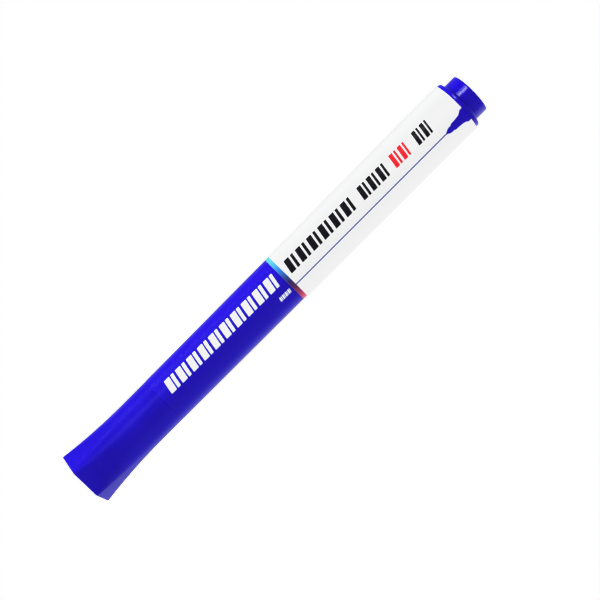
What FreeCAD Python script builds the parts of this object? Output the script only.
"""Felt tip whiteboard marker with a pull-off cap, lying on its side.

The marker's axis runs along X: +X points to the nib and the cap's closed end, -X to the
end plug. The origin is on the surface that the marker lies on, under the middle of its
length, with +Z up. All lengths are in millimetres.
"""
import FreeCAD, Part

import math
import os

# ---- Driving dimensions ------------------------------------------------------------
TOTAL_LENGTH = 140.0  # closed, from the cap's end face to the knob's end face

# Barrel and its printed wrap: a slim cone, widest at the plug end
BARREL_FRONT_RADIUS = 6.87  # over the wrap
BARREL_REAR_RADIUS = 7.30  # over the wrap
LABEL_THICKNESS = 0.06
BARREL_BORE_FRONT = 5.60
BARREL_BORE_REAR = 5.90
RIB_COUNT = 6  # ribs along the bore, which centre the ink reservoir
RIB_WIDTH = 0.8
RIB_ROOT = 0.2  # how far a rib reaches into the tube's wall

# Cap: six-sided at its closed end, round at its mouth
CAP_LENGTH = 28.95
CAP_SEAM = 0.10  # fine open line between the cap's mouth and the barrel
CAP_MOUTH_RADIUS = 6.83
CAP_END_APOTHEM = 7.20  # centre to flat at the closed end
CAP_END_CORNER = 8.20  # centre to rounded corner at the closed end
CAP_FLARE_LENGTH = 20.5  # how far from the closed end the cap is wider than its mouth
CAP_END_WALL = 1.3
CAP_END_EDGE = 0.35  # rounding of the closed end's rim
CAP_MOUTH_EDGE = 0.15
CAP_SEAT_RADIUS = 5.93  # bore that slides over the holder's collar
CAP_SEAT_LENGTH = 4.6
CAP_BORE_RADIUS = 5.80  # behind the seat, where the inner cap is pressed in
CAP_DISH_RADIUS = 4.6  # shallow dish in the closed end's face
CAP_DISH_DEPTH = 0.3

# Nib holder: collar, shoulder and snout
COLLAR_RADIUS = 5.88
COLLAR_LENGTH = 3.77
SHOULDER_LENGTH = 1.05  # slope from the collar down to the flare
FLARE_RADIUS = 4.70  # where the snout's curve meets the shoulder
SHOULDER_WALL = 1.2
HOLDER_NECK = 1.5  # the bore starts to narrow this far behind the shoulder
FLARE_END = 13.2  # where the curve runs out into the straight tip
SNOUT_RADIUS = 3.32
SNOUT_LENGTH = 18.46
SNOUT_EDGE = 0.25
SPIGOT_LENGTH = 8.0  # pressed into the barrel
SPIGOT_LEAD = 0.4  # chamfer that leads it in
HOLDER_BORE = 4.6
GUIDE_LENGTH = 8.5  # the close bore that grips the nib

# Felt nib
NIB_RADIUS = 2.06
NIB_REACH = 25.15  # from the barrel's front face to the nib's tip
NIB_OGIVE = 3.44  # length of the rounded point
NIB_NOSE_LENGTH = 0.45  # the ball at the very end of the point
NIB_NOSE_RADIUS = 0.92  # where the ball meets the point's side
NIB_SIDE_SHARE = 0.44  # of the point's length, measured back from the tip
NIB_SIDE_RADIUS = 0.795  # of the nib's radius, at that share
NIB_CHAMFER = 0.3
NIB_IN_RESERVOIR = 7.0

# Ink reservoir
RESERVOIR_RADIUS = 4.95
RESERVOIR_FILM = 0.10
FILM_INSET = 0.5  # the film stops this far short of the core's ends

# End plug
FLANGE_RADIUS = 7.20
FLANGE_THICKNESS = 1.15
FLANGE_SLOPE = 0.35  # sloped rear face, from the flange's rim down to the knob
FLANGE_EDGE = 0.3
KNOB_RADIUS = 5.90
KNOB_EDGE = 0.5
PLUG_LENGTH = 5.4  # the part of the plug that shows behind the barrel
PLUG_SPIGOT_LENGTH = 7.4
PLUG_SPIGOT_LEAD = 0.5
KNOB_FOOT = 0.25  # small slope where the knob meets the flange
PLUG_BORE = 4.6
PLUG_END_WALL = 1.3

# Inner cap, which seals round the snout
LINER_BORE = 3.70
LINER_WALL = 0.75
LINER_MOUTH_BORE = 4.80
LINER_MOUTH = 6.2  # from the barrel's front face to the liner's open end
LINER_FLANGE_LENGTH = 1.2
LINER_CONE_END = 12.6
SEAL_CLEARANCE = 0.05
SEAL_START = 14.4
SEAL_LENGTH = 1.0

# ---- Stations along the axis, worked out from the sizes above ----------------------
CAP_END_X = TOTAL_LENGTH / 2
CAP_MOUTH_X = CAP_END_X - CAP_LENGTH
BARREL_FRONT_X = CAP_MOUTH_X - CAP_SEAM
KNOB_END_X = -TOTAL_LENGTH / 2
BARREL_REAR_X = KNOB_END_X + PLUG_LENGTH
SPIGOT_REAR_X = BARREL_FRONT_X - SPIGOT_LENGTH
PLUG_FRONT_X = BARREL_REAR_X + PLUG_SPIGOT_LENGTH
CAP_INNER_END_X = CAP_END_X - CAP_END_WALL

AXIS_HEIGHT = BARREL_REAR_RADIUS
AXIS_POINT = FreeCAD.Vector(0, 0, AXIS_HEIGHT)
AXIS = FreeCAD.Vector(1, 0, 0)
TOUCH = 0.001  # how near an edge must be to a stated rim to count as that rim


def on_outline(station, radius):
    """The point of a turned piece's outline at a station along the axis."""
    return FreeCAD.Vector(station, 0, AXIS_HEIGHT + radius)


def turned(*outline):
    """A solid turned about the axis from (station, radius) points.

    A pair of points in place of one point is an arc: the point that it passes
    through, then the point where it ends.
    """
    edges = []
    here = on_outline(*outline[0])
    for step in outline[1:] + outline[:1]:
        if isinstance(step[0], tuple):
            through, end = on_outline(*step[0]), on_outline(*step[1])
            edges.append(Part.Arc(here, through, end).toShape())
        else:
            end = on_outline(*step)
            edges.append(Part.LineSegment(here, end).toShape())
        here = end
    solid = Part.Face(Part.Wire(edges)).revolve(AXIS_POINT, AXIS, 360)
    if solid.Volume < 0:
        solid.reverse()
    return solid


def rims_at(shape, station, radius):
    """The round edges of a turned shape at one station and radius."""
    found = []
    for edge in shape.Edges:
        curve = edge.Curve
        if not isinstance(curve, Part.Circle):
            continue
        if abs(curve.Center.x - station) < TOUCH and abs(curve.Radius - radius) < TOUCH:
            found.append(edge)
    return found


def rounded(shape, size, *rims):
    """The shape with each stated (station, radius) rim rounded."""
    edges = [edge for rim in rims for edge in rims_at(shape, *rim)]
    return shape.makeFillet(size, edges)


def across(station, radius, degrees):
    """The point at a radius from the axis and an angle round it, from straight up."""
    angle = math.radians(degrees)
    return FreeCAD.Vector(
        station, radius * math.sin(angle), AXIS_HEIGHT + radius * math.cos(angle)
    )


def cap_hexagon(station):
    """The cap's outer section: a hexagon whose corner rounding grows towards the mouth."""
    round_x = CAP_END_X - CAP_FLARE_LENGTH
    flare = ((station - round_x) / CAP_FLARE_LENGTH) ** 2
    apothem = CAP_MOUTH_RADIUS + flare * (CAP_END_APOTHEM - CAP_MOUTH_RADIUS)
    corner = CAP_MOUTH_RADIUS + flare * (CAP_END_CORNER - CAP_MOUTH_RADIUS)
    stretch = 1 / math.cos(math.radians(30))
    rounding = (apothem * stretch - corner) / (stretch - 1)
    arc_centre = (apothem - rounding) * stretch
    middle_point = FreeCAD.Vector(station, 0, AXIS_HEIGHT)

    def on_corner(corner_angle, turn):
        offset = across(station, arc_centre, corner_angle) - middle_point
        return across(station, rounding, corner_angle + turn) + offset

    edges = []
    for corner_angle in range(30, 390, 60):
        start, crest, end = (on_corner(corner_angle, turn) for turn in (-30, 0, 30))
        edges.append(Part.Arc(start, crest, end).toShape())
        edges.append(Part.LineSegment(end, on_corner(corner_angle + 60, -30)).toShape())
    return Part.Wire(edges)


def make_cap_shell():
    """The moulded outer cap, with a shallow dish in its closed end."""
    flare_sections = 7
    nearly_round = 0.08  # the last hexagon stops just short of a full circle
    round_end = CAP_END_X - CAP_FLARE_LENGTH * (1 - nearly_round)
    section_gap = (CAP_END_X - round_end) / (flare_sections - 1)
    sections = [cap_hexagon(round_end + section_gap * i) for i in range(flare_sections)]
    flared = Part.makeLoft(sections, True, False)
    sleeve = turned(
        (CAP_MOUTH_X, 0),
        (CAP_MOUTH_X, CAP_MOUTH_RADIUS),
        (round_end, CAP_MOUTH_RADIUS),
        (round_end, 0),
    )
    sleeve = rounded(sleeve, CAP_MOUTH_EDGE, (CAP_MOUTH_X, CAP_MOUTH_RADIUS))
    end_rim = [edge for edge in flared.Edges if edge.BoundBox.XMin > CAP_END_X - TOUCH]
    flared = flared.makeFillet(CAP_END_EDGE, end_rim)
    overshoot = 1.0  # the bore's cutter starts this far outside the mouth
    bore = turned(
        (CAP_MOUTH_X - overshoot, 0),
        (CAP_MOUTH_X - overshoot, CAP_SEAT_RADIUS),
        (CAP_MOUTH_X + CAP_SEAT_LENGTH, CAP_SEAT_RADIUS),
        (CAP_MOUTH_X + CAP_SEAT_LENGTH, CAP_BORE_RADIUS),
        (CAP_INNER_END_X, CAP_BORE_RADIUS),
        (CAP_INNER_END_X, 0),
    )
    dish = turned(
        (CAP_END_X - CAP_DISH_DEPTH, 0),
        (CAP_END_X - CAP_DISH_DEPTH, CAP_DISH_RADIUS - CAP_DISH_DEPTH),
        (CAP_END_X + CAP_DISH_DEPTH, CAP_DISH_RADIUS + CAP_DISH_DEPTH),
        (CAP_END_X + CAP_DISH_DEPTH, 0),
    )
    return flared.fuse(sleeve).cut(bore).cut(dish)


def make_inner_cap():
    """The liner cup that closes round the snout, pressed into the cap shell."""
    mouth = BARREL_FRONT_X + LINER_MOUTH
    flange_end = mouth + LINER_FLANGE_LENGTH
    cone_end = BARREL_FRONT_X + LINER_CONE_END
    seal_start = BARREL_FRONT_X + SEAL_START
    seal_end = seal_start + SEAL_LENGTH
    seal_bore = SNOUT_RADIUS + SEAL_CLEARANCE
    outer = LINER_BORE + LINER_WALL
    lip_rise = LINER_BORE - seal_bore
    return turned(
        (mouth, LINER_MOUTH_BORE),
        (mouth, CAP_BORE_RADIUS),
        (flange_end, CAP_BORE_RADIUS),
        (flange_end, LINER_MOUTH_BORE + LINER_WALL),
        (cone_end, outer),
        (CAP_INNER_END_X, outer),
        (CAP_INNER_END_X, 0),
        (CAP_INNER_END_X - LINER_WALL, 0),
        (CAP_INNER_END_X - LINER_WALL, LINER_BORE),
        (seal_end + lip_rise, LINER_BORE),
        (seal_end, seal_bore),
        (seal_start, seal_bore),
        (seal_start - lip_rise, LINER_BORE),
        (cone_end, LINER_BORE),
        (flange_end, LINER_MOUTH_BORE),
    )


def make_label_film():
    """The printed wrap round the whole barrel."""
    return turned(
        (BARREL_FRONT_X, BARREL_FRONT_RADIUS - LABEL_THICKNESS),
        (BARREL_FRONT_X, BARREL_FRONT_RADIUS),
        (BARREL_REAR_X, BARREL_REAR_RADIUS),
        (BARREL_REAR_X, BARREL_REAR_RADIUS - LABEL_THICKNESS),
    )


def make_barrel():
    """The tube that the hand holds, with ribs along its bore."""
    film_radius = RESERVOIR_RADIUS + RESERVOIR_FILM
    tube = turned(
        (BARREL_FRONT_X, BARREL_BORE_FRONT),
        (BARREL_FRONT_X, BARREL_FRONT_RADIUS - LABEL_THICKNESS),
        (BARREL_REAR_X, BARREL_REAR_RADIUS - LABEL_THICKNESS),
        (BARREL_REAR_X, BARREL_BORE_REAR),
        (PLUG_FRONT_X, BARREL_BORE_REAR),
        (SPIGOT_REAR_X, BARREL_BORE_FRONT),
    )
    rib_length = SPIGOT_REAR_X - PLUG_FRONT_X
    rib_top = BARREL_BORE_REAR + RIB_ROOT
    for i in range(RIB_COUNT):
        rib = Part.makeBox(
            rib_length,
            RIB_WIDTH,
            rib_top - film_radius,
            FreeCAD.Vector(PLUG_FRONT_X, -RIB_WIDTH / 2, AXIS_HEIGHT + film_radius),
        )
        rib.rotate(AXIS_POINT, AXIS, 360 * i / RIB_COUNT)
        tube = tube.fuse(rib)
    return tube


def make_nib_holder():
    """The front section: spigot in the barrel, collar under the cap, snout round the nib."""
    shoulder_start = BARREL_FRONT_X + COLLAR_LENGTH
    flare_start = shoulder_start + SHOULDER_LENGTH
    flare_end = BARREL_FRONT_X + FLARE_END
    tip = BARREL_FRONT_X + SNOUT_LENGTH
    flare_length = flare_end - flare_start
    flare_rise = FLARE_RADIUS - SNOUT_RADIUS
    flare_middle = flare_start + flare_length / 2
    guide_start = tip - GUIDE_LENGTH
    holder = turned(
        (SPIGOT_REAR_X, HOLDER_BORE),
        (SPIGOT_REAR_X, BARREL_BORE_FRONT - SPIGOT_LEAD),
        (SPIGOT_REAR_X + SPIGOT_LEAD, BARREL_BORE_FRONT),
        (BARREL_FRONT_X, BARREL_BORE_FRONT),
        (BARREL_FRONT_X, COLLAR_RADIUS),
        (shoulder_start, COLLAR_RADIUS),
        (flare_start, FLARE_RADIUS),
        ((flare_middle, SNOUT_RADIUS + flare_rise / 4), (flare_end, SNOUT_RADIUS)),
        (tip, SNOUT_RADIUS),
        (tip, NIB_RADIUS),
        (guide_start, NIB_RADIUS),
        (flare_start, FLARE_RADIUS - SHOULDER_WALL),
        (shoulder_start - HOLDER_NECK, HOLDER_BORE),
    )
    holder = rounded(holder, SNOUT_EDGE, (tip, SNOUT_RADIUS))
    return rounded(holder, SNOUT_EDGE, (shoulder_start, COLLAR_RADIUS))


def make_nib():
    """The felt rod with its bullet point."""
    tip = BARREL_FRONT_X + NIB_REACH
    ogive_start = tip - NIB_OGIVE
    rear = SPIGOT_REAR_X - NIB_IN_RESERVOIR
    on_side = (tip - NIB_SIDE_SHARE * NIB_OGIVE, NIB_SIDE_RADIUS * NIB_RADIUS)
    ball = (NIB_NOSE_LENGTH**2 + NIB_NOSE_RADIUS**2) / (2 * NIB_NOSE_LENGTH)
    half_turn = math.asin(NIB_NOSE_RADIUS / ball) / 2
    on_ball = (tip - ball * (1 - math.cos(half_turn)), ball * math.sin(half_turn))
    return turned(
        (rear, 0),
        (rear, NIB_RADIUS - NIB_CHAMFER),
        (rear + NIB_CHAMFER, NIB_RADIUS),
        (ogive_start, NIB_RADIUS),
        (on_side, (tip - NIB_NOSE_LENGTH, NIB_NOSE_RADIUS)),
        (on_ball, (tip, 0)),
    )


def make_ink_reservoir():
    """The fibre core that holds the ink, with the nib's rear end pushed into it."""
    nib_rear = SPIGOT_REAR_X - NIB_IN_RESERVOIR
    return turned(
        (PLUG_FRONT_X, 0),
        (PLUG_FRONT_X, RESERVOIR_RADIUS),
        (SPIGOT_REAR_X, RESERVOIR_RADIUS),
        (SPIGOT_REAR_X, NIB_RADIUS),
        (nib_rear, NIB_RADIUS),
        (nib_rear, 0),
    )


def make_reservoir_film():
    """The thin wrap that holds the fibre core together."""
    return turned(
        (PLUG_FRONT_X + FILM_INSET, RESERVOIR_RADIUS),
        (PLUG_FRONT_X + FILM_INSET, RESERVOIR_RADIUS + RESERVOIR_FILM),
        (SPIGOT_REAR_X - FILM_INSET, RESERVOIR_RADIUS + RESERVOIR_FILM),
        (SPIGOT_REAR_X - FILM_INSET, RESERVOIR_RADIUS),
    )


def make_rear_plug():
    """The end plug: spigot in the barrel, flange and knob."""
    flange_rear = BARREL_REAR_X - FLANGE_THICKNESS
    knob_start = flange_rear - FLANGE_SLOPE
    plug = turned(
        (PLUG_FRONT_X, PLUG_BORE),
        (PLUG_FRONT_X, BARREL_BORE_REAR - PLUG_SPIGOT_LEAD),
        (PLUG_FRONT_X - PLUG_SPIGOT_LEAD, BARREL_BORE_REAR),
        (BARREL_REAR_X, BARREL_BORE_REAR),
        (BARREL_REAR_X, FLANGE_RADIUS),
        (flange_rear, FLANGE_RADIUS),
        (knob_start, KNOB_RADIUS + KNOB_FOOT),
        (knob_start - KNOB_FOOT, KNOB_RADIUS),
        (KNOB_END_X, KNOB_RADIUS),
        (KNOB_END_X, 0),
        (KNOB_END_X + PLUG_END_WALL, 0),
        (KNOB_END_X + PLUG_END_WALL, PLUG_BORE),
    )
    plug = rounded(plug, KNOB_EDGE, (KNOB_END_X, KNOB_RADIUS))
    return rounded(plug, FLANGE_EDGE, (flange_rear, FLANGE_RADIUS))


PIECES = {
    "cap_shell": make_cap_shell,
    "inner_cap": make_inner_cap,
    "label_film": make_label_film,
    "barrel": make_barrel,
    "nib_holder": make_nib_holder,
    "nib": make_nib,
    "ink_reservoir": make_ink_reservoir,
    "reservoir_film": make_reservoir_film,
    "rear_plug": make_rear_plug,
}

os.makedirs("parts", exist_ok=True)
for name, make in PIECES.items():
    piece = make()
    box = piece.optimalBoundingBox(False)
    print(
        f"{name}: {len(piece.Solids)} solid, valid {piece.isValid()}, "
        f"{piece.Volume:.1f} mm3, X {box.XMin:.2f} to {box.XMax:.2f}, "
        f"Z {box.ZMin:.2f} to {box.ZMax:.2f}"
    )
    piece.exportStep(f"parts/{name}.step")
